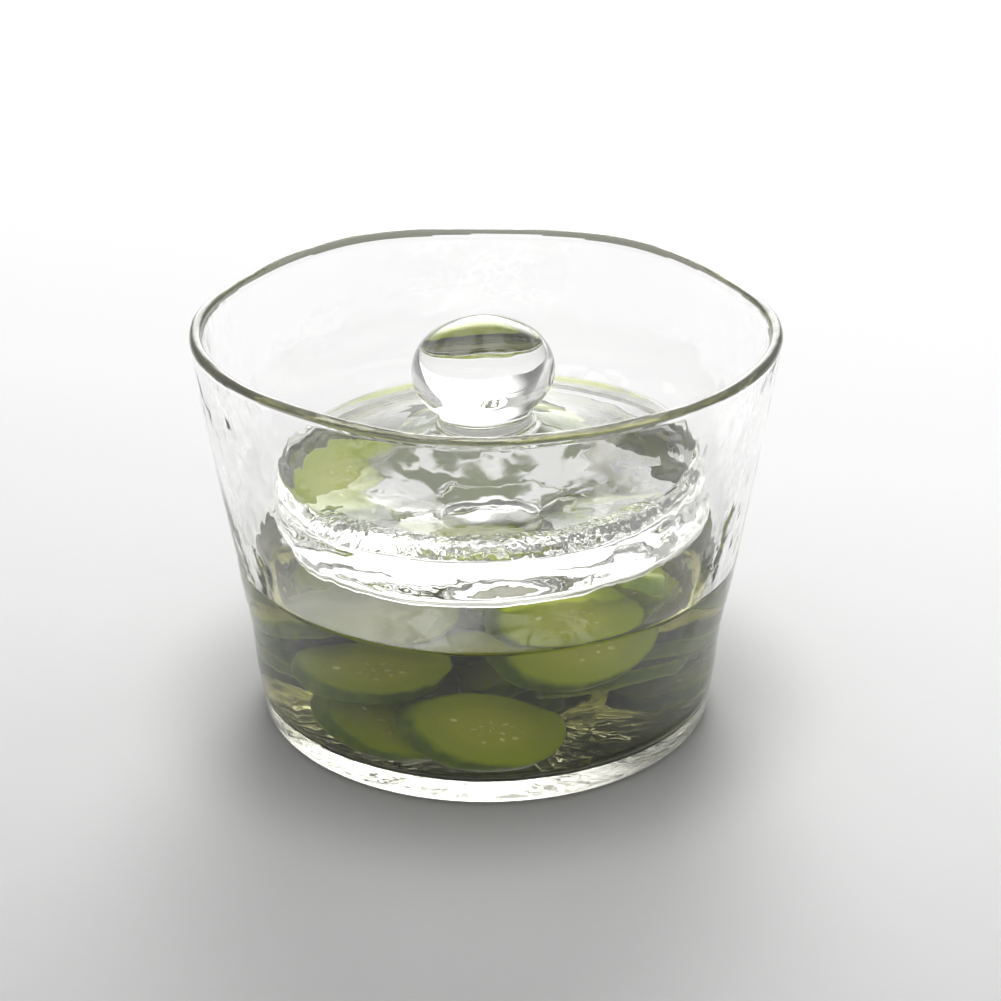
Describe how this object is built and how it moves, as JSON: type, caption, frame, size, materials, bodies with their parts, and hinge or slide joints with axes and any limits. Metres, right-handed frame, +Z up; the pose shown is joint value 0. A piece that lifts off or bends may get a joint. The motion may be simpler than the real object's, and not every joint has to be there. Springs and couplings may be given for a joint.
{
  "type": "pickle press",
  "caption": "Glass pickle press: a flared bowl of sliced cucumber with a loose, heavy glass disc weight that lifts out by its ball knob.",
  "frame": {"origin": "centre of the bowl's base, in the plane that it rests on", "axes": "+Z up out of the bowl's mouth and along the way the weight lifts, -Y towards the front, +X to the right as seen from the front"},
  "size_m": [0.1529, 0.1498, 0.1097],
  "materials": {
    "bowl_glass": "clear hand-shaped glass with a soft ripple and a fire-polished rim",
    "weight_glass": "clear thick glass with a faint ripple and small bubbles",
    "cucumber": "wet pickled cucumber, olive flesh with pale seeds and a dark green skin"
  },
  "bodies": {
    "bowl": {"bowl": "bowl_glass", "cucumber_slice_01": "cucumber", "cucumber_slice_02": "cucumber", "cucumber_slice_03": "cucumber", "cucumber_slice_04": "cucumber", "cucumber_slice_05": "cucumber", "cucumber_slice_06": "cucumber", "cucumber_slice_07": "cucumber", "cucumber_slice_08": "cucumber", "cucumber_slice_09": "cucumber", "cucumber_slice_10": "cucumber", "cucumber_slice_11": "cucumber", "cucumber_slice_12": "cucumber", "cucumber_slice_13": "cucumber", "cucumber_slice_14": "cucumber", "cucumber_slice_15": "cucumber", "cucumber_slice_16": "cucumber", "cucumber_slice_17": "cucumber", "cucumber_slice_18": "cucumber", "cucumber_slice_19": "cucumber", "cucumber_slice_20": "cucumber", "cucumber_slice_21": "cucumber", "cucumber_slice_22": "cucumber", "cucumber_slice_23": "cucumber", "cucumber_slice_24": "cucumber", "cucumber_slice_25": "cucumber", "cucumber_slice_26": "cucumber", "cucumber_slice_27": "cucumber", "cucumber_slice_28": "cucumber", "cucumber_slice_29": "cucumber"},
    "weight": {"weight_disc": "weight_glass", "weight_knob": "weight_glass"}
  },
  "joints": [
    {"name": "weight_lift", "type": "slide", "parent": "bowl", "child": "weight", "axis": [0, 0, 1], "range_m": [0, 0.08]}
  ]
}
